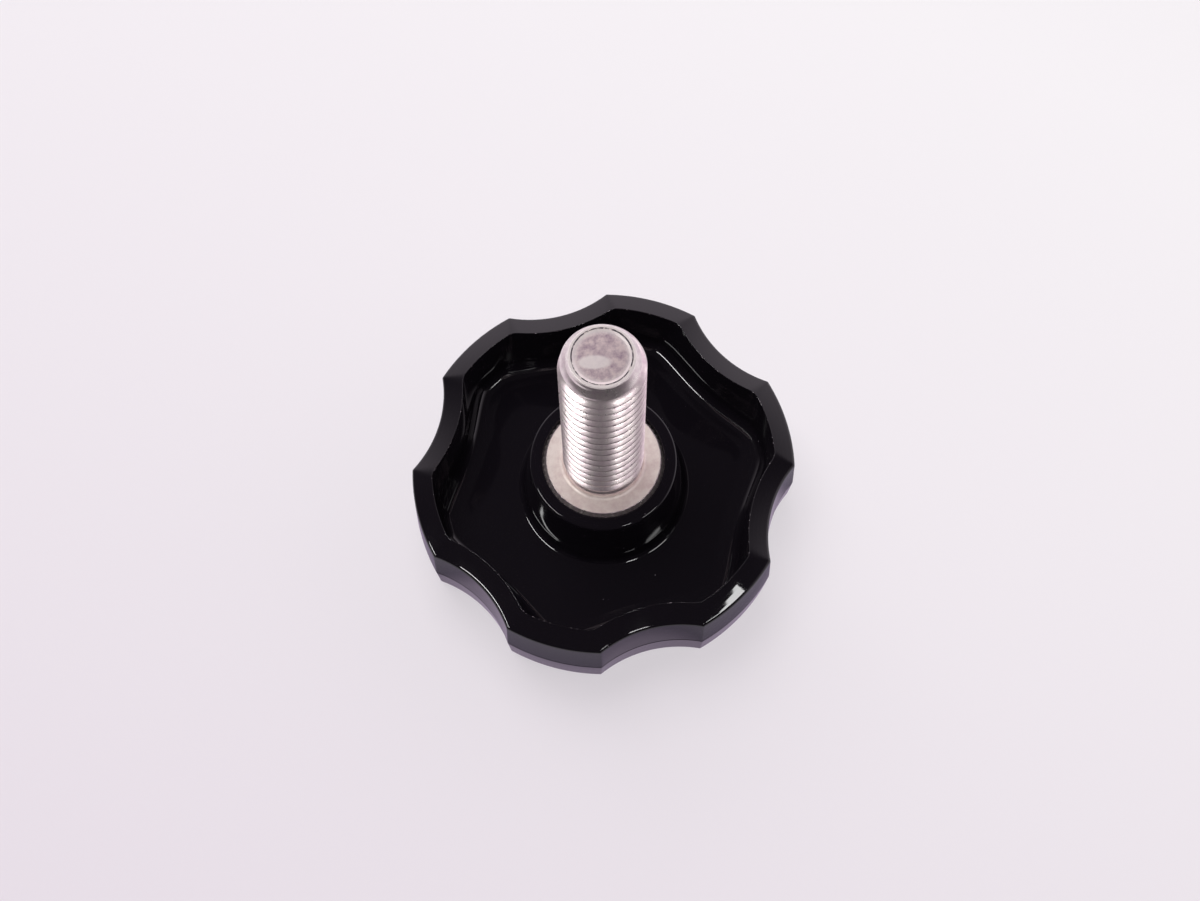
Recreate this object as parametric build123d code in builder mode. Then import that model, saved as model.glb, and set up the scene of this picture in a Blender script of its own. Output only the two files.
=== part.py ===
import os
from math import cos, radians, sin, tan

from build123d import *

os.makedirs("parts", exist_ok=True)

# Fluted hand knob lying on its crown, with a threaded stud standing up from its hub.
# Origin at the centre of the crown's flat face, +Z along the stud, one lobe centred on +X.
# All lengths are in millimetres and all angles in degrees.

# Side of the moulding
lobe_count = 6
body_radius = 19.05  # over the lobes, at the parting line of the mould
flute_depth = 1.83
flute_radius = 11.9
edge_height = 9.0  # crown to the outer edge of the rim
parting_height = 4.25  # crown to parting line
rim_draft = 2.3  # side wall above the parting line
crown_draft = 4.0  # side wall below the parting line
crown_chamfer = 0.8

# Rim, rising in an arc from its outer edge to a narrow flat land at its inner edge
rim_width = 2.0
rim_rise = 0.85
rim_land = 0.1
rim_slope = 18.0  # of the arc where it leaves the land

# Recess inside the rim
crown_thickness = 3.0
recess_draft = 3.0
recess_floor_chamfer = 0.7

# Hub in the middle of the recess
hub_wall = 1.25  # round the screw head, at the top of the hub
hub_rise = 1.45  # above the rim
hub_draft = 7.0
hub_root_sweep = 0.6  # reach of the hollow at the foot of the hub, along floor and flank
hub_edge_chamfer = 0.35

# Cap screw, 5/16 inch by 1 inch
thread_radius = 3.969  # over the crests of the thread
screw_length = 25.4  # below the head
point_length = 1.5  # chamfered end of the shank
point_depth = 1.15
under_head_chamfer = 0.4
head_radius = 5.95  # over the crests of the knurl, a press fit in the hub
head_height = 7.94
head_chamfer = 0.35  # at the socket end
socket_flats = 6.35
socket_depth = 3.8
knurl_count = 28
knurl_depth = 0.3

# Places and sizes that follow from those above
rim_height = edge_height + rim_rise
seat_height = rim_height + hub_rise  # top of the hub, flush with the head's underside
head_base = seat_height - head_height
tip_height = seat_height + screw_length
edge_radius = body_radius - (edge_height - parting_height) * tan(radians(rim_draft))
crown_radius = body_radius - parting_height * tan(radians(crown_draft))
inner_radius = edge_radius - rim_width
floor_radius = inner_radius - (rim_height - crown_thickness) * tan(radians(recess_draft))
hub_radius = head_radius + hub_wall
hub_taper = tan(radians(hub_draft))
hub_base_radius = hub_radius + (seat_height - crown_thickness) * hub_taper
flute_centre = body_radius - flute_depth + flute_radius
flute_angle = 360 / lobe_count / 2  # from the middle of a lobe to the middle of a flute
flute_axis = Axis((flute_centre, 0, 0), (0, 0, 1))
seat_plane = Plane.XY.offset(seat_height)
head_plane = Plane.XY.offset(head_base)

def fluted(section):
    # Solid turned from a side section, with flutes that show the same section moved in by the flute depth.
    # Each flute is cut by a drum that turns about the flute's own axis and carries the section in reverse.
    low = section.sketch_local.bounding_box().min.Y
    high = section.sketch_local.bounding_box().max.Y
    with BuildPart() as drum:
        with BuildSketch(Plane.XZ):
            with Locations((flute_centre / 2, (low + high) / 2)):
                Rectangle(flute_centre, high - low)
            with Locations((-flute_depth, 0)):
                add(section.sketch_local, mode=Mode.SUBTRACT)
        revolve(axis=flute_axis)
    with BuildPart() as turning:
        add(section.sketch)
        revolve(axis=Axis.Z)
        with PolarLocations(0, lobe_count, start_angle=flute_angle):
            add(drum.part, mode=Mode.SUBTRACT)
    return turning.part

# Outer section: flat crown, two drafted walls that meet at the parting line, and the crowned rim
with BuildSketch(Plane.XZ) as side_section:
    with BuildLine():
        Polyline(
            (inner_radius + rim_land, rim_height),
            (0, rim_height),
            (0, 0),
            (crown_radius - crown_chamfer, 0),
            (crown_radius + crown_chamfer * tan(radians(crown_draft)), crown_chamfer),
            (body_radius, parting_height),
            (edge_radius, edge_height),
        )
        TangentArc(
            (inner_radius + rim_land, rim_height),
            (edge_radius, edge_height),
            tangent=(cos(radians(rim_slope)), -sin(radians(rim_slope))),
        )
    make_face()

# Section of the recess, with a chamfer between floor and wall
with BuildSketch(Plane.XZ) as recess_section:
    with BuildLine():
        Polyline(
            (0, rim_height),
            (0, crown_thickness),
            (floor_radius, crown_thickness),
            (inner_radius, rim_height),
            close=True,
        )
    make_face()
    floor_corner = recess_section.vertices().group_by(Axis.Y)[0].sort_by(Axis.X)[-1]
    chamfer(floor_corner, recess_floor_chamfer)

blank = fluted(side_section)
recess_core = fluted(recess_section)

# Knob body: the fluted blank with its recess, the hub with a hollow foot, and the blind bore in the hub
with BuildPart() as knob_body:
    add(blank)
    add(recess_core, mode=Mode.SUBTRACT)
    with BuildSketch(Plane.XZ):
        with BuildLine():
            hub_foot = Bezier(
                (hub_base_radius + hub_root_sweep, crown_thickness),
                (hub_base_radius, crown_thickness),
                (hub_base_radius - hub_root_sweep * hub_taper, crown_thickness + hub_root_sweep),
            )
            Polyline(
                hub_foot @ 1,
                (hub_radius + hub_edge_chamfer * hub_taper, seat_height - hub_edge_chamfer),
                (hub_radius - hub_edge_chamfer, seat_height),
                (0, seat_height),
                (0, crown_thickness),
                hub_foot @ 0,
            )
        make_face()
    revolve(axis=Axis.Z)
    with BuildSketch(seat_plane):
        Circle(head_radius)
    extrude(amount=-head_height, mode=Mode.SUBTRACT)

knob_body.part.label = "knob_body"
export_step(knob_body.part, "parts/knob_body.step")

# Clamp screw: a turned profile, then the knurl of its head and the hex socket
with BuildPart() as clamp_screw:
    with BuildSketch(Plane.XZ):
        with BuildLine():
            Polyline(
                (0, head_base),
                (head_radius - head_chamfer, head_base),
                (head_radius, head_base + head_chamfer),
                (head_radius, seat_height),
                (thread_radius + under_head_chamfer, seat_height),
                (thread_radius, seat_height + under_head_chamfer),
                (thread_radius, tip_height - point_length),
                (thread_radius - point_depth, tip_height),
                (0, tip_height),
                close=True,
            )
        make_face()
    revolve(axis=Axis.Z)
    with BuildSketch(head_plane):
        with PolarLocations(head_radius, knurl_count):
            RegularPolygon(knurl_depth, side_count=4)
    extrude(amount=head_height, mode=Mode.SUBTRACT)
    with BuildSketch(head_plane):
        RegularPolygon(socket_flats / 2, side_count=6, major_radius=False)
    extrude(amount=socket_depth, mode=Mode.SUBTRACT)

clamp_screw.part.label = "clamp_screw"
export_step(clamp_screw.part, "parts/clamp_screw.step")
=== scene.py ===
import math

import bmesh
import bpy
import numpy as np
from mathutils import Matrix, Vector


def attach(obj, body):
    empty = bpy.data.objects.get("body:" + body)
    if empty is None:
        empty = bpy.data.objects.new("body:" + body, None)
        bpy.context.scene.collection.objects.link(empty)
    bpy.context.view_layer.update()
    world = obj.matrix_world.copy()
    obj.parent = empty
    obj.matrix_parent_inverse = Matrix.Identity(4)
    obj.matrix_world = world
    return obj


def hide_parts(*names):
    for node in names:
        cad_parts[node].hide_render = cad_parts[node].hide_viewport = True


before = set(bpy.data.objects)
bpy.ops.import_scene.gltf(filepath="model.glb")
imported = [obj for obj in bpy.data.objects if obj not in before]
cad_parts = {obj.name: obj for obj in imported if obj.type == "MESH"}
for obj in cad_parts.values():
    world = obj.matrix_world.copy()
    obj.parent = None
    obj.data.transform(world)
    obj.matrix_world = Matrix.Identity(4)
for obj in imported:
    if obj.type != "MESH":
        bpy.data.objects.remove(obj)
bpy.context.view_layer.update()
mm = 0.001  # sizes below are in millimetres, Blender's are in metres
perMm = 1 / mm
mixA, mixB, mixed = 6, 7, 2  # a Mix node's two colour inputs and its colour output
weldReach, sliver = 2e-7, 1e-8  # metres: points this close become one, and shorter edges go
straightTurn, shortRun = 1e-6, 2e-3  # radians and millimetres: less gets no arc and no support points
print("frame loaded:", sorted(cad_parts))


# One node of a shader tree, with its settings, and its inputs given as values or as sockets to link
def addNode(tree, kind, inputs=None, **settings):
    node = tree.nodes.new("ShaderNode" + kind)
    for name, value in settings.items():
        setattr(node, name, value)
    for name, value in (inputs or {}).items():
        if isinstance(value, bpy.types.NodeSocket):
            tree.links.new(value, node.inputs[name])
        else:
            node.inputs[name].default_value = value
    return node


# An sRGB hex colour as linear RGBA
def linear(hexColour):
    parts = [int(hexColour[i:i + 2], 16) / 255 for i in (1, 3, 5)]
    return [p / 12.92 if p <= 0.04045 else ((p + 0.055) / 1.055) ** 2.4 for p in parts] + [1.0]


def newMaterial(name):
    material = bpy.data.materials.new(name)
    material.use_nodes = True
    material.node_tree.nodes.clear()
    return material, material.node_tree


# Tangent of an angle in degrees, for drafts
def tanOf(degrees):
    return math.tan(math.radians(degrees))


# A level direction, from its azimuth in degrees
def headingOf(degrees):
    a = math.radians(degrees)
    return math.cos(a), math.sin(a), 0


# Points of a section: a polyline whose corners are rounded by arcs, with support points beside each arc.
# A corner is (x, z, radius, steps). The arc touches both runs at radius * tan(half the turn) from the corner.
def roundedSection(corners, support, spacing):
    xz = np.array([c[:2] for c in corners], float)
    marks = [xz[:1]]
    for i in range(1, len(corners) - 1):
        radius, steps = corners[i][2:]
        inward = (xz[i - 1] - xz[i]) / np.linalg.norm(xz[i - 1] - xz[i])
        onward = (xz[i + 1] - xz[i]) / np.linalg.norm(xz[i + 1] - xz[i])
        turn = math.pi - math.acos(np.clip(inward @ onward, -1, 1))
        if radius == 0 or turn < straightTurn:
            marks.append(xz[i:i + 1])
            continue
        reach = radius * math.tan(turn / 2)
        bisector = (inward + onward) / np.linalg.norm(inward + onward)
        centre = xz[i] + bisector * radius / math.cos(turn / 2)
        start = xz[i] + inward * reach - centre
        sweep = math.copysign(turn, inward[1] * onward[0] - inward[0] * onward[1])
        a = np.linspace(0, sweep, steps + 1)[:, None]
        side = np.array([[-start[1], start[0]]])
        marks.append(centre + start * np.cos(a) + side * np.sin(a))
    marks.append(xz[-1:])
    points = [marks[0]]
    for before, after in zip(marks, marks[1:]):  # straight run between two corners
        run = np.linalg.norm(after[0] - before[-1])
        inner = np.arange(spacing, run - spacing / 2, spacing)
        stops = np.unique(np.concatenate([[min(support, run / 3)], inner, [run - min(support, run / 3)]]))
        share = (stops / run)[:, None] if run > shortRun else np.zeros((0, 1))
        points += [before[-1] + (after[0] - before[-1]) * share, after]
    return np.concatenate(points)


# A piece from grids of points: each grid is (rows, columns, 3) with rows going up or inwards and columns
# counter-clockwise, so that each quad faces outwards. Grids share their border points, which are welded.
def gridPiece(name, grids, materials, layers):
    points, quads, slots = [], [], []
    base = 0
    for grid, slot in grids:
        rows, columns = grid.shape[:2]
        index = base + np.arange(rows * columns).reshape(rows, columns)
        corners = [index[:-1, :-1], index[:-1, 1:], index[1:, 1:], index[1:, :-1]]
        quad = np.stack(corners, -1).reshape(-1, 4)
        points.append(grid.reshape(-1, 3))
        quads.append(quad)
        slots.append(np.full(len(quad), slot))
        base += rows * columns
    mesh = bpy.data.meshes.new(name)
    mesh.from_pydata((np.concatenate(points) * mm).tolist(), [], np.concatenate(quads).tolist())
    mesh.polygons.foreach_set("material_index", np.concatenate(slots).astype(np.int32))
    for layer, (kind, values) in layers.items():
        attribute = mesh.attributes.new(layer, kind, "POINT")
        flat = np.concatenate([v.reshape(-1) for v in values]).astype(np.float32)
        attribute.data.foreach_set("vector" if kind == "FLOAT_VECTOR" else "value", flat)
    weld = bmesh.new()
    weld.from_mesh(mesh)
    bmesh.ops.remove_doubles(weld, verts=weld.verts, dist=weldReach)
    bmesh.ops.dissolve_degenerate(weld, edges=weld.edges, dist=sliver)
    loose = [v for v in weld.verts if not v.link_faces]
    bmesh.ops.delete(weld, geom=loose, context="VERTS")
    openEdges = sum(1 for e in weld.edges if len(e.link_faces) != 2)
    weld.to_mesh(mesh)
    weld.free()
    mesh.polygons.foreach_set("use_smooth", np.ones(len(mesh.polygons), bool))
    for material in materials:
        mesh.materials.append(material)
    piece = bpy.data.objects.new(name, mesh)
    bpy.context.scene.collection.objects.link(piece)
    print(f"{name}: {len(mesh.vertices)} points, {len(mesh.polygons)} faces, {openEdges} open edges")
    return piece


# Camera at the photograph's place
photoCamera = dict(
    azimuth=-13.83, elevation=69.31, roll=-1.07,  # degrees, azimuth 0 looks along +Y
    aim=(0.06, 1.59, 9.6), distance=192.7,  # millimetres
    lens=58.656, sensor=36.0, nearest=5.0,
)


# Camera basis: back points from the aim to the camera, right and up span the image, turned by the roll
def placeCamera(c):
    a, e, roll = (math.radians(c[k]) for k in ("azimuth", "elevation", "roll"))
    back = Vector((math.sin(a) * math.cos(e), -math.cos(a) * math.cos(e), math.sin(e)))
    level = Vector((math.cos(a), math.sin(a), 0))
    upright = back.cross(level)
    right = level * math.cos(roll) + upright * math.sin(roll)
    up = upright * math.cos(roll) - level * math.sin(roll)
    camera = bpy.data.objects.new("photoCamera", bpy.data.cameras.new("photoCamera"))
    camera.data.lens = c["lens"]
    camera.data.sensor_width = c["sensor"]
    camera.data.sensor_fit = "HORIZONTAL"
    camera.data.clip_start = c["nearest"] * mm
    place = (Vector(c["aim"]) + back * c["distance"]) * mm
    basis = Matrix((right, up, back)).transposed().to_4x4()
    camera.matrix_world = Matrix.Translation(place) @ basis
    bpy.context.scene.collection.objects.link(camera)
    bpy.context.scene.camera = camera


placeCamera(photoCamera)
print("camera placed")


# Black phenolic, compression moulded: a deep gloss with faint ripple, hairline scratches, a little dust
# and pale nicks along the edge where the rim meets the recess. A cut is the span of a noise over which its
# effect grows from none to full.
phenolicLook = dict(
    colour="#110e13", dust="#8d868e", nick="#b3aab0",
    ior=1.46, gloss=0.03, haze=0.06, hazeSize=5.0, hazeCut=(0.45, 0.75),
    rippleSize=4.0, rippleHeight=0.0035,  # millimetres, as all sizes here
    scratchWidth=0.05, scratchLength=6.0, scratchDepth=0.00012,  # wider than real ones, so that they show
    scratchCut=(0.72, 0.8), scratchTurns=(0.5, 2.1),  # two families of hairlines, turned by radians
    dustSpacing=1.4, dustSize=0.05, dustShare=0.28,
    nickSize=0.28, nickCut=(0.56, 0.64), nickRough=0.4,
    filmTop=5.0, filmBase=2.6, film=0.05,  # dust film low in the recess: its heights and its roughness
)


def mouldedPhenolic(look):
    material, tree = newMaterial("mouldedPhenolicGloss")
    place = addNode(tree, "TexCoord").outputs["Object"]
    # ripple and haze: slow waves in the surface and in its polish
    ripple = addNode(tree, "TexNoise", {"Vector": place, "Scale": perMm / look["rippleSize"], "Detail": 1.0})
    haze = addNode(tree, "TexNoise", {"Vector": place, "Scale": perMm / look["hazeSize"], "Detail": 5.0})
    # hairlines: noise drawn out along two directions, of which only the peaks show
    along, across = perMm / look["scratchLength"], perMm / look["scratchWidth"]
    hairlines = []
    for turn in look["scratchTurns"]:
        turned = addNode(tree, "Mapping", {"Vector": place, "Rotation": (0, 0, turn)})
        drawn = addNode(tree, "Mapping", {"Vector": turned.outputs[0], "Scale": (along, across, along)})
        line = addNode(tree, "TexNoise", {"Vector": drawn.outputs[0], "Scale": 1.0, "Detail": 0.0})
        thin = addNode(tree, "MapRange", {"Value": line.outputs[0], "From Min": look["scratchCut"][0],
                                          "From Max": look["scratchCut"][1]})
        hairlines.append(thin.outputs[0])
    scratch = addNode(tree, "Math", {0: hairlines[0], 1: hairlines[1]}, operation="MAXIMUM").outputs[0]
    # dust: a speck in the middle of some cells
    cells = addNode(tree, "TexVoronoi", {"Vector": place, "Scale": perMm / look["dustSpacing"]})
    size = look["dustSize"] / look["dustSpacing"]
    speck = addNode(tree, "MapRange", {"Value": cells.outputs["Distance"], "From Min": size,
                                       "From Max": size / 2}).outputs[0]
    draw = addNode(tree, "SeparateColor", {0: cells.outputs["Color"]}).outputs[0]
    some = addNode(tree, "Math", {0: draw, 1: 1 - look["dustShare"]}, operation="GREATER_THAN").outputs[0]
    dust = addNode(tree, "Math", {0: speck, 1: some}, operation="MULTIPLY").outputs[0]
    # nicks: the peaks of a fine noise, on the worn edge alone
    edge = addNode(tree, "Attribute", attribute_name="edgeWear").outputs["Fac"]
    chips = addNode(tree, "TexNoise", {"Vector": place, "Scale": perMm / look["nickSize"], "Detail": 2.0})
    worn = addNode(tree, "Math", {0: chips.outputs[0], 1: edge}, operation="MULTIPLY").outputs[0]
    nick = addNode(tree, "MapRange", {"Value": worn, "From Min": look["nickCut"][0],
                                      "From Max": look["nickCut"][1]}).outputs[0]
    dusty = addNode(tree, "Mix", {"Factor": dust, mixA: linear(look["colour"]), mixB: linear(look["dust"])},
                    data_type="RGBA")
    colour = addNode(tree, "Mix", {"Factor": nick, mixA: dusty.outputs[mixed], mixB: linear(look["nick"])},
                     data_type="RGBA")
    # roughness: the gloss with its haze, the dust film inside the recess, and the nicks
    soft = addNode(tree, "MapRange", {"Value": haze.outputs[0], "From Min": look["hazeCut"][0],
                                      "From Max": look["hazeCut"][1], "To Min": look["gloss"],
                                      "To Max": look["gloss"] + look["haze"]}).outputs[0]
    height = addNode(tree, "SeparateXYZ", {0: place}).outputs["Z"]
    inside = addNode(tree, "Attribute", attribute_name="recess").outputs["Fac"]
    film = addNode(tree, "MapRange", {"Value": height, "From Min": look["filmTop"] * mm,
                                      "From Max": look["filmBase"] * mm, "To Max": look["film"]}).outputs[0]
    settled = addNode(tree, "Math", {0: film, 1: inside, 2: soft}, operation="MULTIPLY_ADD").outputs[0]
    rough = addNode(tree, "Math", {0: nick, 1: look["nickRough"], 2: settled}, operation="MULTIPLY_ADD")
    wave = addNode(tree, "Bump", {"Height": ripple.outputs[0], "Distance": look["rippleHeight"] * mm,
                                  "Strength": 1.0})
    relief = addNode(tree, "Bump", {"Height": scratch, "Distance": look["scratchDepth"] * mm,
                                    "Strength": 1.0, "Normal": wave.outputs[0]}, invert=True)
    shader = addNode(tree, "BsdfPrincipled", {"Base Color": colour.outputs[mixed], "IOR": look["ior"],
                                              "Roughness": rough.outputs[0], "Normal": relief.outputs[0]})
    addNode(tree, "OutputMaterial", {"Surface": shader.outputs[0]})
    return material


# Knob moulding: one section carried round a fluted outline, then round the hub
knob = dict(
    lobes=6, radius=19.04, fluteDepth=1.83, fluteRadius=11.9,  # radius over the lobes at the parting line
    cornerBlend=0.06, innerBlend=0.5, floorBlend=2.8,  # round the corners between lobes and flutes
    crownDraft=4.0, crownRound=0.8, crownBorder=2.5,
    partingHeight=4.25, partingWidth=0.22, partingDepth=0.14, partingRound=0.03,
    edgeHeight=9.0, edgeDraft=2.3, edgeRound=0.38,
    rimWidth=2.0, rimRise=0.85, rimLand=0.04, rimSlope=22.4, innerRound=0.07, wearReach=0.11,
    floorHeight=3.0, floorRise=0.8, floorRound=1.2, floorBorder=2.0, recessDraft=3.0,
    hubTop=11.3, hubFall=0.16, hubWall=1.25, hubDraft=7.0, hubSweep=0.9, hubRound=0.35,
    boreRadius=5.95, boreDepth=7.94, boreEdgeRound=0.08, boreFloorRound=0.2,
    # the mesh: support rows beside each round, spacing on straight runs, steps round each corner
    support=0.05, spacing=0.9, hubSpacing=1.2, rimSteps=5, footSteps=14, floorSteps=8,
    steps=dict(crown=10, parting=3, edge=8, inner=6, floor=14, hub=8, bore=4, boreFloor=3),
    crownShares=(0, 0.25, 0.5, 0.75, 0.92), columnsPerSide=14, cornerCrowding=1.8,
)


# Fluted outline: radius is the smaller of the lobe circle and the flute circle, blended where they cross,
# both moved in by the inset. Columns crowd towards the crossing, which follows the inset.
def flutedOutline(k, inset, blend):
    inset, blend = (np.asarray(a, float)[:, None] for a in (inset, blend))
    centre = k["radius"] - k["fluteDepth"] + k["fluteRadius"]
    lobe = k["radius"] - inset
    flute = k["fluteRadius"] + inset
    half = math.pi / k["lobes"]
    crossing = half - np.arccos((centre ** 2 + lobe ** 2 - flute ** 2) / (2 * centre * lobe))
    w = np.linspace(-1, 1, 2 * k["columnsPerSide"] + 1)[None, :]
    crowd = np.abs(w) ** k["cornerCrowding"]
    first = crossing + np.where(w < 0, -crossing, half - crossing) * crowd
    period = np.concatenate([first[:, :-1], (2 * half - first)[:, :0:-1]], 1)
    turns = 2 * half * np.arange(k["lobes"])
    angle = (turns[None, :, None] + period[:, None, :]).reshape(len(inset), -1)
    angle = np.concatenate([angle, angle[:, :1] + 2 * math.pi], 1)
    off = (angle % (2 * half)) - half
    reach = centre * np.cos(off) - np.sqrt(np.maximum(flute ** 2 - (centre * np.sin(off)) ** 2, 0))
    cut = np.maximum(blend - np.abs(lobe - reach), 0) ** 2 / (4 * blend)
    return angle, np.minimum(lobe, reach) - cut


# Rim: an arc from the outer edge up to the land. It turns by twice the angle between its start and its chord.
def rimArc(k, edgeRadius, landRadius, rimHeight):
    slope = math.radians(k["rimSlope"])
    chord = np.array([edgeRadius - landRadius, k["edgeHeight"] - rimHeight])
    bend = 2 * (math.atan2(-chord[1], chord[0]) - slope)
    arcRadius = np.linalg.norm(chord) / (2 * math.sin(bend / 2))
    a = np.linspace(slope + bend, slope, k["rimSteps"] + 1)
    return np.stack([landRadius + arcRadius * (np.sin(a) - math.sin(slope)),
                     rimHeight + arcRadius * (np.cos(a) - math.cos(slope))], 1)


# Hub section: a hollow foot (quadratic curve from floor to flank), flank, rounded edge, top and bore
def hubSection(k, footHeight):
    hubRadius = k["boreRadius"] + k["hubWall"]
    hubBase = hubRadius + (k["hubTop"] - footHeight) * tanOf(k["hubDraft"])
    boreFloor = k["hubTop"] - k["boreDepth"]
    steps = k["steps"]
    t = np.linspace(0, 1, k["footSteps"] + 1)[:, None]
    start = np.array([hubBase + k["hubSweep"], footHeight])
    corner = np.array([hubBase, footHeight])
    end = np.array([hubBase - k["hubSweep"] * tanOf(k["hubDraft"]), footHeight + k["hubSweep"]])
    foot = (1 - t) ** 2 * start + 2 * t * (1 - t) * corner + t ** 2 * end
    upper = roundedSection([
        (*end, 0, 0),
        (hubRadius, k["hubTop"] - k["hubFall"], k["hubRound"], steps["hub"]),
        (k["boreRadius"], k["hubTop"], k["boreEdgeRound"], steps["bore"]),
        (k["boreRadius"], boreFloor, k["boreFloorRound"], steps["boreFloor"]),
        (0, boreFloor, 0, 0),
    ], k["support"], k["hubSpacing"])
    return np.concatenate([foot[:-1], upper])


# Points of the moulding from the crown's centre, up the side, over the rim, down into the recess, across its
# floor and over the hub into the bore, with the wear of the rim's inner edge and a mark for the recess
def knobMoulding(k):
    edgeRadius = k["radius"] - (k["edgeHeight"] - k["partingHeight"]) * tanOf(k["edgeDraft"])
    crownRadius = k["radius"] - k["partingHeight"] * tanOf(k["crownDraft"])
    innerRadius = edgeRadius - k["rimWidth"]
    rimHeight = k["edgeHeight"] + k["rimRise"]
    floorRadius = innerRadius - (rimHeight - k["floorHeight"]) * tanOf(k["recessDraft"])
    arc = rimArc(k, edgeRadius, innerRadius + k["rimLand"], rimHeight)
    lip = k["partingWidth"] / 2
    lowLip = (k["radius"] - lip * tanOf(k["crownDraft"]), k["partingHeight"] - lip)
    highLip = (k["radius"] - lip * tanOf(k["edgeDraft"]), k["partingHeight"] + lip)
    steps = k["steps"]
    section = roundedSection([
        (crownRadius - k["crownBorder"], 0, 0, 0),
        (crownRadius, 0, k["crownRound"], steps["crown"]),
        (*lowLip, k["partingRound"], steps["parting"]),
        (k["radius"] - k["partingDepth"], k["partingHeight"], 0, 0),
        (*highLip, k["partingRound"], steps["parting"]),
        (*arc[0], k["edgeRound"], steps["edge"]),
        *[(*p, 0, 0) for p in arc[1:]],
        (innerRadius, rimHeight, k["innerRound"], steps["inner"]),
        (floorRadius, k["floorHeight"], k["floorRound"], steps["floor"]),
        (floorRadius - k["floorBorder"], k["floorHeight"], 0, 0),
    ], k["support"], k["spacing"])
    x, z = section.T
    inward = np.interp(x, [floorRadius, innerRadius, edgeRadius],
                       [k["floorBlend"], k["innerBlend"], k["cornerBlend"]])
    blend = np.where(z > k["floorHeight"] - k["support"], inward, k["cornerBlend"])
    angle, radius = flutedOutline(k, k["radius"] - x, blend)
    heights = np.broadcast_to(z[:, None], radius.shape)
    fluted = np.stack([radius * np.cos(angle), radius * np.sin(angle), heights], -1)
    # crown: the outline's first row drawn in to the centre
    crown = fluted[:1] * np.array(k["crownShares"])[:, None, None]
    # hub: its section turned round the axis, on the angles of the outline's last row
    ring = np.stack([np.cos(angle[-1]), np.sin(angle[-1]), np.ones(angle.shape[1])], -1)
    hub = hubSection(k, k["floorHeight"] + k["floorRise"])[:, None, [0, 0, 1]] * ring[None]
    # floor: straight lines from the fluted border up to the foot of the hub
    s = np.linspace(0, 1, k["floorSteps"] + 1)[1:-1, None, None]
    floor = fluted[-1:] * (1 - s) + hub[:1] * s
    grid = np.concatenate([crown, fluted, floor, hub])
    wear = np.zeros(grid.shape[:2])
    fromEdge = np.hypot(x - innerRadius, z - rimHeight) / k["wearReach"]
    wear[len(crown):len(crown) + len(section)] = np.exp(-fromEdge ** 2)[:, None]
    recess = np.zeros(grid.shape[:2])
    recess[len(crown) + int(np.argmax(z)):] = 1
    return grid, wear, recess


moulding, edgeWear, recess = knobMoulding(knob)
knobBody = gridPiece("knobMoulding", [(moulding, 0)], [mouldedPhenolic(phenolicLook)],
                     {"edgeWear": ("FLOAT", [edgeWear]), "recess": ("FLOAT", [recess])})
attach(knobBody, "root")
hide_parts("knob_body")


# Steel, thread rolled: bright crests and flanks with fine drawn lines that follow the thread
rolledLook = dict(
    name="rolledSteelThread", colour="#efe3e1", stain="#d3bfc6", metallic=0.86, gloss=0.26, spread=0.08,
    lineWidth=0.05, lineLength=6.0, lineDepth=0.0003, mottle=0.9,
)
# Steel, turned: the bearing face under the head, pale and satin with rings left by the tool
turnedLook = dict(
    name="turnedSteelFace", colour="#fbeee6", stain="#e0ccc7", metallic=0.45, gloss=0.42, spread=0.16,
    lineWidth=0.16, lineLength=9.0, lineDepth=0.007, mottle=1.4,
)
# Steel, sheared and headed: the blank end of the shank, greyer and mottled
shearedLook = dict(
    name="shearedSteelEnd", colour="#e6d3d2", stain="#a58d9c", metallic=0.5, gloss=0.38, spread=0.2,
    lineWidth=0.5, lineLength=2.0, lineDepth=0.004, mottle=0.7,
)
# On that end: a pale half-moon on the near side, a painted highlight, a pale border, and painted shade in the
# groove
endMarks = dict(
    pale="#fbf1ee", highlightPlace=(-0.79, -0.33, 36.5), highlightReach=(1.5, 0.65, 9.0), highlightTurn=-13.83,
    highlightEdge=(1.1, 0.8), highlightShare=0.8, borderFrom=2.0, borderTo=2.6,
    grooveShade="#574a58", grooveShadeCut=(0.4, 0.52), grooveAt=2.65, grooveHalf=0.06,
)
steelNoise = dict(fineness=0.65, stainCut=(0.4, 0.68), polishCut=(0.3, 0.7))  # the same on all three
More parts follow.
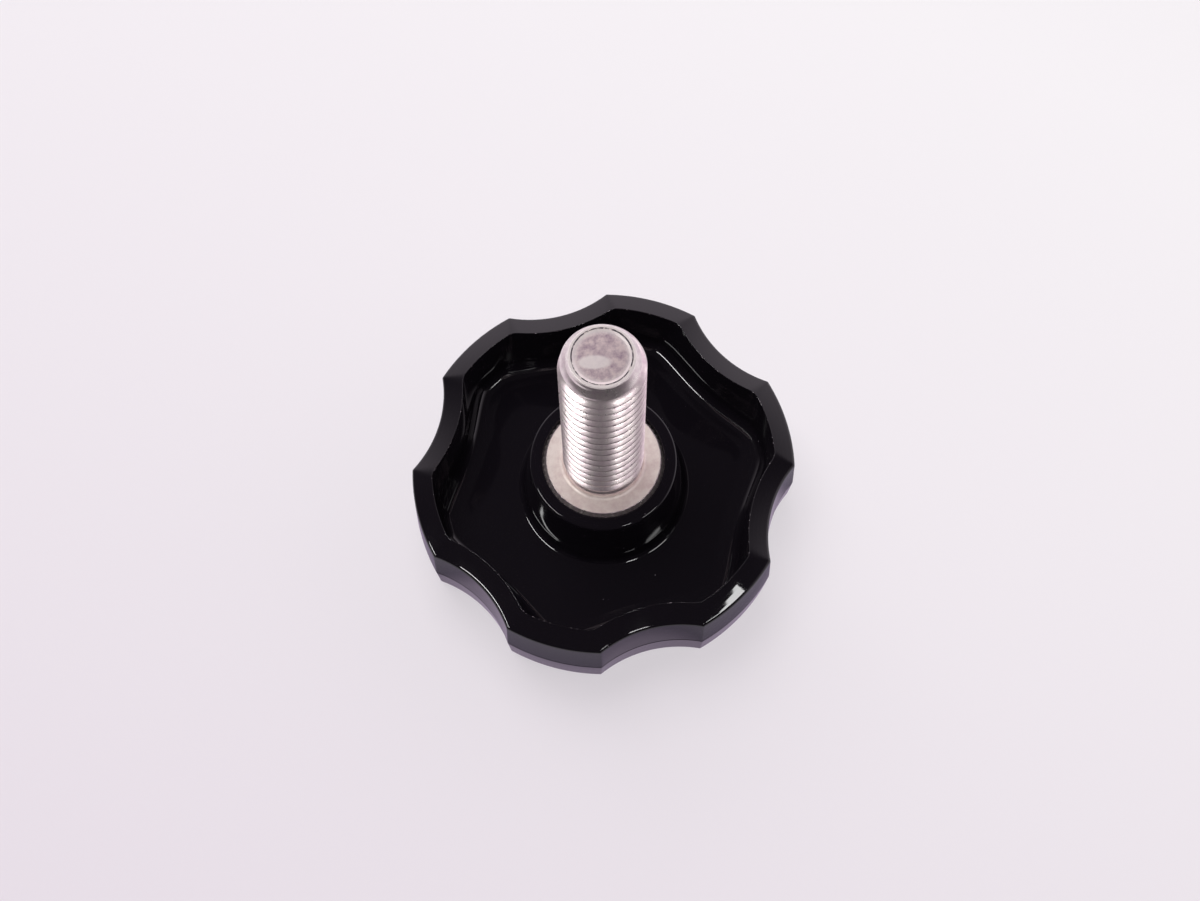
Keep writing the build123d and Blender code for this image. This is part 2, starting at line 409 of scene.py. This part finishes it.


# Colour of the sheared end: the mottled steel, with a painted highlight by place, a pale border by distance
# from the axis, and painted shade in the groove
def markedEnd(tree, place, cloud, colour, marks):
    # painted highlight: a pale half-moon on the near side of the end, by distance from a point on it
    centred = addNode(tree, "Mapping", {"Vector": place, "Location": [c * mm for c in marks["highlightPlace"]],
                                        "Rotation": (0, 0, math.radians(marks["highlightTurn"])),
                                        "Scale": [c * mm for c in marks["highlightReach"]]}, vector_type="TEXTURE")
    away = addNode(tree, "VectorMath", {0: centred.outputs[0]}, operation="LENGTH").outputs["Value"]
    paintedHighlight = addNode(tree, "MapRange", {"Value": away, "From Min": marks["highlightEdge"][0],
                                      "From Max": marks["highlightEdge"][1], "To Max": marks["highlightShare"]})
    level = addNode(tree, "VectorMath", {0: place, 1: (1, 1, 0)}, operation="MULTIPLY").outputs["Vector"]
    reach = addNode(tree, "VectorMath", {0: level}, operation="LENGTH").outputs["Value"]
    border = addNode(tree, "MapRange", {"Value": reach, "From Min": marks["borderFrom"] * mm,
                                        "From Max": marks["borderTo"] * mm})
    pale = addNode(tree, "Math", {0: paintedHighlight.outputs[0], 1: border.outputs[0]}, operation="MAXIMUM").outputs[0]
    paled = addNode(tree, "Mix", {"Factor": pale, mixA: colour, mixB: linear(marks["pale"])},
                    data_type="RGBA")
    # painted shade in the groove: a dark ring at the groove's radius, broken up by noise
    groove = addNode(tree, "Math", {0: reach, 1: marks["grooveAt"] * mm, 2: marks["grooveHalf"] * mm},
                     operation="COMPARE")
    shadeBreakup = addNode(tree, "MapRange", {"Value": cloud, "From Min": marks["grooveShadeCut"][0],
                                        "From Max": marks["grooveShadeCut"][1]})
    grooveShadeMask = addNode(tree, "Math", {0: groove.outputs[0], 1: shadeBreakup.outputs[0]}, operation="MULTIPLY")
    grooveShaded = addNode(tree, "Mix", {"Factor": grooveShadeMask.outputs[0], mixA: paled.outputs[mixed],
                                   mixB: linear(marks["grooveShade"])}, data_type="RGBA")
    return grooveShaded.outputs[mixed]


def brightSteel(look, noise, marks=None):
    material, tree = newMaterial(look["name"])
    place = addNode(tree, "TexCoord").outputs["Object"]
    # lay: two coordinates round the screw, and one along its section
    lay = addNode(tree, "Attribute", attribute_name="lay").outputs["Vector"]
    stretch = (1 / look["lineLength"], 1 / look["lineLength"], 1 / look["lineWidth"])
    drawn = addNode(tree, "Mapping", {"Vector": lay, "Scale": stretch}).outputs[0]
    line = addNode(tree, "TexNoise", {"Vector": drawn, "Scale": 1.0, "Detail": 3.0})
    cloud = addNode(tree, "TexNoise", {"Vector": place, "Scale": perMm / look["mottle"], "Detail": 6.0,
                                       "Roughness": noise["fineness"]}).outputs[0]
    patch = addNode(tree, "MapRange", {"Value": cloud, "From Min": noise["stainCut"][0],
                                       "From Max": noise["stainCut"][1]}).outputs[0]
    colour = addNode(tree, "Mix", {"Factor": patch, mixA: linear(look["colour"]),
                                   mixB: linear(look["stain"])}, data_type="RGBA").outputs[mixed]
    if marks:
        colour = markedEnd(tree, place, cloud, colour, marks)
    rough = addNode(tree, "MapRange", {"Value": cloud, "From Min": noise["polishCut"][0],
                                       "From Max": noise["polishCut"][1], "To Min": look["gloss"],
                                       "To Max": look["gloss"] + look["spread"]})
    bump = addNode(tree, "Bump", {"Height": line.outputs[0], "Distance": look["lineDepth"] * mm,
                                  "Strength": 1.0})
    shader = addNode(tree, "BsdfPrincipled", {"Base Color": colour, "Metallic": look["metallic"],
                                              "Roughness": rough.outputs[0], "Normal": bump.outputs[0]})
    addNode(tree, "OutputMaterial", {"Surface": shader.outputs[0]})
    return material


# Cap screw standing on its head in the hub, 18 threads to the inch
screw = dict(
    radius=3.92, pitch=25.4 / 18, depth=0.76, crestShare=0.12, rootShare=0.22, threadStart=0.42,
    # rows of the thread within one pitch, closer together at the edges of crest and root
    threadShares=(0, 0.03, 0.055, 0.08, 0.2, 0.36, 0.42, 0.5, 0.58, 0.64, 0.8, 0.92, 0.945, 0.97),
    seat=11.3, tip=36.5, fillet=0.42, runOut=1.3,  # the thread grows to its full depth over the run-out
    pointLength=2.2, pointOver=0.02, pointCurve=1.25,
    endRadius=2.9, endRound=0.16, endFall=0.03, endRoundShare=0.7,
    grooveRadius=2.7, grooveWidth=0.1, grooveDepth=0.12, grooveTaper=0.02, grooveLip=0.04, lipRound=0.03,
    domeRadius=2.35, domeRise=0.12, domeDrop=0.02,
    headRadius=5.94, headHeight=7.94, headChamfer=0.35, faceBorder=0.4,
    bevelWidth=0.34, bevelDrop=0.5, bevelLowRound=0.08, bevelTopRound=0.06,
    socketFlats=6.35, socketDepth=3.8, socketLip=0.01,
    teeth=60, toothDepth=0.16, toothShare=0.9, toothFade=0.2,
    # the mesh: columns round the screw, support rows and spacing of the turned sections, rows on the dome
    columns=240, headSupport=0.05, headSpacing=2.0, faceSupport=0.04, faceSpacing=0.25,
    endSupport=0.02, endSpacing=0.3, domeSteps=8,
    steps=dict(bevelLow=3, bevelTop=4, fillet=8, end=6, groove=2, lip=3),
    threadLay=1.6,  # rise of the lay with height on the thread
    sharpAngle=40.0,  # edges that turn by more, in degrees, are shaded sharp
)


# Radius of the shank: the thread's crest, flank and root by distance from the nearest crest line,
# or the rounded point where that is smaller
def shankRadius(s, angle, z):
    phase = (z - s["seat"]) / s["pitch"] - s["threadStart"] - angle / (2 * math.pi)
    fromCrest = np.abs((phase + 0.5) % 1 - 0.5)
    flank = 0.5 - s["crestShare"] / 2 - s["rootShare"] / 2
    cut = np.clip((fromCrest - s["crestShare"] / 2) / flank, 0, 1)
    grow = np.clip((z - s["seat"] - s["fillet"]) / s["runOut"], 0, 1)
    thread = s["radius"] - s["depth"] * cut * grow * grow * (3 - 2 * grow)
    u = np.clip((z - s["tip"] + s["pointLength"]) / s["pointLength"], 0, 1)
    full = s["radius"] + s["pointOver"] - s["endRadius"]
    point = s["endRadius"] + full * (1 - u ** s["pointCurve"])
    return np.minimum(thread, point)


# Blocks of the screw from the socket to the end of the shank, each a grid of points with its lay
def capScrew(s):
    angle = np.linspace(0, 2 * math.pi, s["columns"] + 1)
    ring = np.stack([np.cos(angle), np.sin(angle)], -1)
    steps = s["steps"]

    # rows of rings, where a row's radius may follow the angle
    def rings(radius, height, along):
        xy = radius[:, :, None] * ring[None]
        column = xy.shape[:2] + (1,)
        points = np.concatenate([xy, np.broadcast_to(height[:, None, None], column)], -1)
        lay = np.concatenate([np.broadcast_to(ring * s["radius"], xy.shape),
                              np.broadcast_to(along[:, None, None], column)], -1)
        return points, lay

    # rows of round rings from a section, with the distance along it as their lay
    def plainRings(section):
        step = np.hypot(*np.diff(section, axis=0).T)
        along = np.concatenate([[0], np.cumsum(step)])
        return rings(np.repeat(section[:, :1], len(angle), 1), section[:, 1], along)

    base = s["seat"] - s["headHeight"]
    floor = base + s["socketDepth"]
    # hexagon: distance from the axis is half the flats over the cosine of the angle from the nearest flat
    hexagon = s["socketFlats"] / 2 / np.cos((angle % (math.pi / 3)) - math.pi / 6)
    shares = np.array([0, 0.5, 1, 1, 1, 1])
    middle = floor - s["socketDepth"] / 2
    heights = np.array([floor, floor, floor, middle, base + s["socketLip"], base])
    socket = rings(shares[:, None] * hexagon[None], heights, np.arange(float(len(shares))))
    rimRing = np.full(len(angle), s["headRadius"] - s["headChamfer"])
    under = rings(np.stack([hexagon, rimRing]), np.array([base, base]), np.array([0.0, 2.0]))
    # knurl: the radius drops by the tooth depth at each groove, fading out at the chamfers
    fromGroove = np.abs((angle * s["teeth"] / (2 * math.pi)) % 1 - 0.5) * 2
    groove = 1 - np.clip(fromGroove / s["toothShare"], 0, 1)
    edge = roundedSection([
        (s["headRadius"] - s["headChamfer"], base, 0, 0),
        (s["headRadius"], base + s["headChamfer"], 0, 0),
        (s["headRadius"], s["seat"] - s["bevelDrop"], s["bevelLowRound"], steps["bevelLow"]),
        (s["headRadius"] - s["bevelWidth"], s["seat"], s["bevelTopRound"], steps["bevelTop"]),
        (s["headRadius"] - s["faceBorder"], s["seat"], 0, 0),
    ], s["headSupport"], s["headSpacing"])
    deep = np.clip((edge[:, 0] - s["headRadius"] + s["headChamfer"]) / s["toothFade"], 0, 1)
    knurl = rings(edge[:, :1] - s["toothDepth"] * deep[:, None] * groove[None], edge[:, 1], edge[:, 1])
    face = plainRings(roundedSection([
        (s["headRadius"] - s["faceBorder"], s["seat"], 0, 0),
        (s["radius"], s["seat"], s["fillet"], steps["fillet"]),
        (s["radius"], s["seat"] + s["fillet"], 0, 0),
    ], s["faceSupport"], s["faceSpacing"]))
    # thread: rows follow the helix, held between the fillet and the point
    low, high = s["seat"] + s["fillet"], s["tip"] - s["endRound"]
    turns = np.arange(-2, math.ceil((high - low) / s["pitch"]) + 2)  # some to spare, for the clip below
    stops = (turns[:, None] + np.array(s["threadShares"])[None]).reshape(-1, 1) + s["threadStart"]
    z = np.clip(s["seat"] + s["pitch"] * (stops + angle[None] / (2 * math.pi)), low, high)
    radius = shankRadius(s, angle[None], z)
    points = np.stack([radius * np.cos(angle), radius * np.sin(angle), z], -1)
    layX, layY = (ring * s["radius"]).T[:, None]
    lay = np.stack(np.broadcast_arrays(layX, layY, z * s["threadLay"] - radius), -1)
    # end: a rounded edge, a groove with tapered sides, and a low dome that falls with the radius squared
    topRadius = float(shankRadius(s, np.zeros(1), np.array([high]))[0])
    inside = s["grooveRadius"] - s["grooveWidth"]
    bottom = s["tip"] - s["grooveDepth"]
    dome = np.linspace(s["domeRadius"], 0, s["domeSteps"] + 1)
    domeHeight = s["tip"] - s["domeDrop"] - s["domeRise"] * (dome / s["domeRadius"]) ** 2
    end = plainRings(roundedSection([
        (topRadius, high, 0, 0),
        (topRadius - s["endFall"], s["tip"], s["endRound"] * s["endRoundShare"], steps["end"]),
        (s["grooveRadius"], s["tip"], s["grooveTaper"], steps["groove"]),
        (s["grooveRadius"] - s["grooveTaper"], bottom, 0, 0),
        (inside + s["grooveTaper"], bottom, 0, 0),
        (inside, s["tip"] - s["grooveLip"], s["lipRound"], steps["lip"]),
        *[(r, h, 0, 0) for r, h in zip(dome, domeHeight)],
    ], s["endSupport"], s["endSpacing"]))
    return [socket, under, knurl, face, (points, lay), end]


blocks = capScrew(screw)
blockSlots = (0, 0, 0, 1, 0, 2)  # rolled, turned or sheared steel for each block
screwSteels = [brightSteel(rolledLook, steelNoise), brightSteel(turnedLook, steelNoise),
               brightSteel(shearedLook, steelNoise, endMarks)]
capScrewPiece = gridPiece("capScrew", [(block[0], slot) for block, slot in zip(blocks, blockSlots)],
                          screwSteels, {"lay": ("FLOAT_VECTOR", [block[1] for block in blocks])})
capScrewPiece.data.set_sharp_from_angle(angle=math.radians(screw["sharpAngle"]))
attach(capScrewPiece, "root")
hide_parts("clamp_screw")
print("knob and screw made")


# White sheet, matt: to the camera about half a pale glow that slopes across the picture as painted light
# falloff, and half lit paper with the knob's shadow. In gloss it shows painted light alone: painted shade
# near the knob, a paler painted band at its foot, and painted darkness on the camera's side.
table = dict(
    size=4.0, colour="#faf3f8",  # size in metres, distances from the axis in millimetres
    nearGlow="#ddd4de", farGlow="#ffffff", slopeAzimuth=46.0, slopeReach=68.0, glowShare=0.52,
    foot="#b0a1b7", footFrom=19.2, footTo=20.4,
    shade="#776a83", shadeFrom=19.0, open="#f4f0f6", shadeTo=32.0,
    dusk="#141116", duskAzimuth=-103.8, duskFrom=35.0, duskTo=75.0,
)


def whiteSheet(t):
    material, tree = newMaterial("whiteTableSheet")
    matt = addNode(tree, "BsdfDiffuse", {"Color": linear(t["colour"])})
    place = addNode(tree, "TexCoord").outputs["Object"]
    # to the camera: painted light falloff, from the near glow to the far one along the slope
    along = addNode(tree, "VectorMath", {0: place, 1: headingOf(t["slopeAzimuth"])}, operation="DOT_PRODUCT")
    slope = addNode(tree, "MapRange", {"Value": along.outputs["Value"], "From Min": -t["slopeReach"] * mm,
                                       "From Max": t["slopeReach"] * mm}).outputs[0]
    tone = addNode(tree, "Mix", {"Factor": slope, mixA: linear(t["nearGlow"]), mixB: linear(t["farGlow"])},
                   data_type="RGBA").outputs[mixed]
    # in gloss alone, all painted: a pale band at the foot of the knob, painted shade round it, the open
    # sheet, and painted darkness on the camera's side
    away = addNode(tree, "VectorMath", {0: place}, operation="LENGTH").outputs["Value"]
    clear = addNode(tree, "MapRange", {"Value": away, "From Min": t["shadeFrom"] * mm,
                                       "From Max": t["shadeTo"] * mm}).outputs[0]
    sheet = addNode(tree, "Mix", {"Factor": clear, mixA: linear(t["shade"]), mixB: linear(t["open"])},
                    data_type="RGBA").outputs[mixed]
    past = addNode(tree, "MapRange", {"Value": away, "From Min": t["footFrom"] * mm,
                                      "From Max": t["footTo"] * mm}).outputs[0]
    sheet = addNode(tree, "Mix", {"Factor": past, mixA: linear(t["foot"]), mixB: sheet},
                    data_type="RGBA").outputs[mixed]
    front = addNode(tree, "VectorMath", {0: place, 1: headingOf(t["duskAzimuth"])}, operation="DOT_PRODUCT")
    dusky = addNode(tree, "MapRange", {"Value": front.outputs["Value"], "From Min": t["duskFrom"] * mm,
                                       "From Max": t["duskTo"] * mm}).outputs[0]
    sheet = addNode(tree, "Mix", {"Factor": dusky, mixA: sheet, mixB: linear(t["dusk"])},
                    data_type="RGBA").outputs[mixed]
    ray = addNode(tree, "LightPath").outputs
    shown = addNode(tree, "Mix", {"Factor": ray["Is Camera Ray"], mixA: sheet, mixB: tone}, data_type="RGBA")
    glow = addNode(tree, "Emission", {"Color": shown.outputs[mixed], "Strength": 1.0})
    # share of the glow: part to the camera, all in gloss and through glass, none for other light
    seen = addNode(tree, "Math", {0: ray["Is Camera Ray"], 1: ray["Is Glossy Ray"]}, operation="ADD",
                   use_clamp=True).outputs[0]
    seen = addNode(tree, "Math", {0: seen, 1: ray["Is Transmission Ray"]}, operation="ADD",
                   use_clamp=True).outputs[0]
    own = addNode(tree, "MapRange", {"Value": ray["Is Camera Ray"], "To Min": 1.0, "To Max": t["glowShare"]})
    share = addNode(tree, "Math", {0: seen, 1: own.outputs[0]}, operation="MULTIPLY").outputs[0]
    both = addNode(tree, "MixShader", {0: share, 1: matt.outputs[0], 2: glow.outputs[0]})
    addNode(tree, "OutputMaterial", {"Surface": both.outputs[0]})
    return material


def paleTable(t):
    half = t["size"] / 2
    mesh = bpy.data.meshes.new("paleTable")
    corners = [(-half, -half, 0), (half, -half, 0), (half, half, 0), (-half, half, 0)]
    mesh.from_pydata(corners, [], [(0, 1, 2, 3)])
    mesh.materials.append(whiteSheet(t))
    floor = bpy.data.objects.new("paleTable", mesh)
    bpy.context.scene.collection.objects.link(floor)


paleTable(table)


# Studio light, in metres: strips at the near right and at the left, which show in the gloss and cast no
# shadow, and a soft ceiling lamp, which shows in no gloss and leaves the soft shadow on the near side
lamps = dict(
    keyStrip=dict(azimuth=-76.3, elevation=50.8, distance=1.27, along=13.7, width=0.15, height=0.09,
                  radiance=30.0, inGloss=True, castsShadow=False),
    rightStrip=dict(azimuth=-46.8, elevation=48.5, distance=1.3, along=43.2, width=0.32, height=0.09,
                    radiance=17.0, inGloss=True, castsShadow=False),
    leftStrip=dict(azimuth=-178.8, elevation=43.3, distance=1.295, along=123.2, width=0.68, height=0.08,
                   radiance=36.0, inGloss=True, castsShadow=False),
    ceiling=dict(azimuth=106.0, elevation=62.0, distance=1.0, along=196.0, width=0.7, height=0.7,
                 radiance=2.8, inGloss=False, castsShadow=True),
)


# A lamp faces the object from its azimuth and elevation, with its width level along a heading.
# Its power is radiance * pi * area.
def addLamp(name, lamp):
    a, e = math.radians(lamp["azimuth"]), math.radians(lamp["elevation"])
    way = Vector((math.cos(a) * math.cos(e), math.sin(a) * math.cos(e), math.sin(e)))
    place = way * lamp["distance"]
    side = Vector(headingOf(lamp["along"]))
    back = (place - side * place.dot(side)).normalized()
    light = bpy.data.lights.new(name, "AREA")
    light.shape = "RECTANGLE"
    light.size, light.size_y = lamp["width"], lamp["height"]
    light.energy = lamp["radiance"] * math.pi * lamp["width"] * lamp["height"]
    light.use_shadow = lamp["castsShadow"]
    source = bpy.data.objects.new(name, light)
    basis = Matrix((side, back.cross(side), back)).transposed().to_4x4()
    source.matrix_world = Matrix.Translation(place) @ basis
    source.visible_glossy = lamp["inGloss"]
    bpy.context.scene.collection.objects.link(source)


for lampName, lamp in lamps.items():
    addLamp(lampName, lamp)

# Room: dim overhead, and pale low down on the far side, where the rim picks it up
room = dict(
    overhead="#413c42", pale="#f6eaf5", paleLevel=1.4, backdrop="#f3f0f4",
    low=18.0, high=50.0,  # elevations, degrees
    farAzimuth=48.0, farCut=(-0.25, 0.6),
)


def paleRoom(r):
    world = bpy.data.worlds.new("paleRoom")
    bpy.context.scene.world = world
    world.use_nodes = True
    tree = world.node_tree
    tree.nodes.clear()
    way = addNode(tree, "TexCoord").outputs["Generated"]
    height = addNode(tree, "SeparateXYZ", {0: way}).outputs["Z"]
    low = addNode(tree, "MapRange", {"Value": height, "From Min": math.sin(math.radians(r["high"])),
                                     "From Max": math.sin(math.radians(r["low"]))},
                  interpolation_type="SMOOTHSTEP").outputs[0]
    far = addNode(tree, "VectorMath", {0: way, 1: headingOf(r["farAzimuth"])}, operation="DOT_PRODUCT")
    side = addNode(tree, "MapRange", {"Value": far.outputs["Value"], "From Min": r["farCut"][0],
                                      "From Max": r["farCut"][1]}, interpolation_type="SMOOTHSTEP").outputs[0]
    both = addNode(tree, "Math", {0: low, 1: side}, operation="MULTIPLY").outputs[0]
    pale = [c * r["paleLevel"] for c in linear(r["pale"])[:3]] + [1.0]
    lit = addNode(tree, "Mix", {"Factor": both, mixA: linear(r["overhead"]), mixB: pale}, data_type="RGBA")
    camera = addNode(tree, "LightPath").outputs["Is Camera Ray"]
    shown = addNode(tree, "Mix", {"Factor": camera, mixA: lit.outputs[mixed], mixB: linear(r["backdrop"])},
                    data_type="RGBA")
    light = addNode(tree, "Background", {"Color": shown.outputs[mixed], "Strength": 1.0})
    addNode(tree, "OutputWorld", {"Surface": light.outputs[0]})


paleRoom(room)
bpy.context.scene.view_settings.view_transform = "Standard"
print("table, lamps and room set")
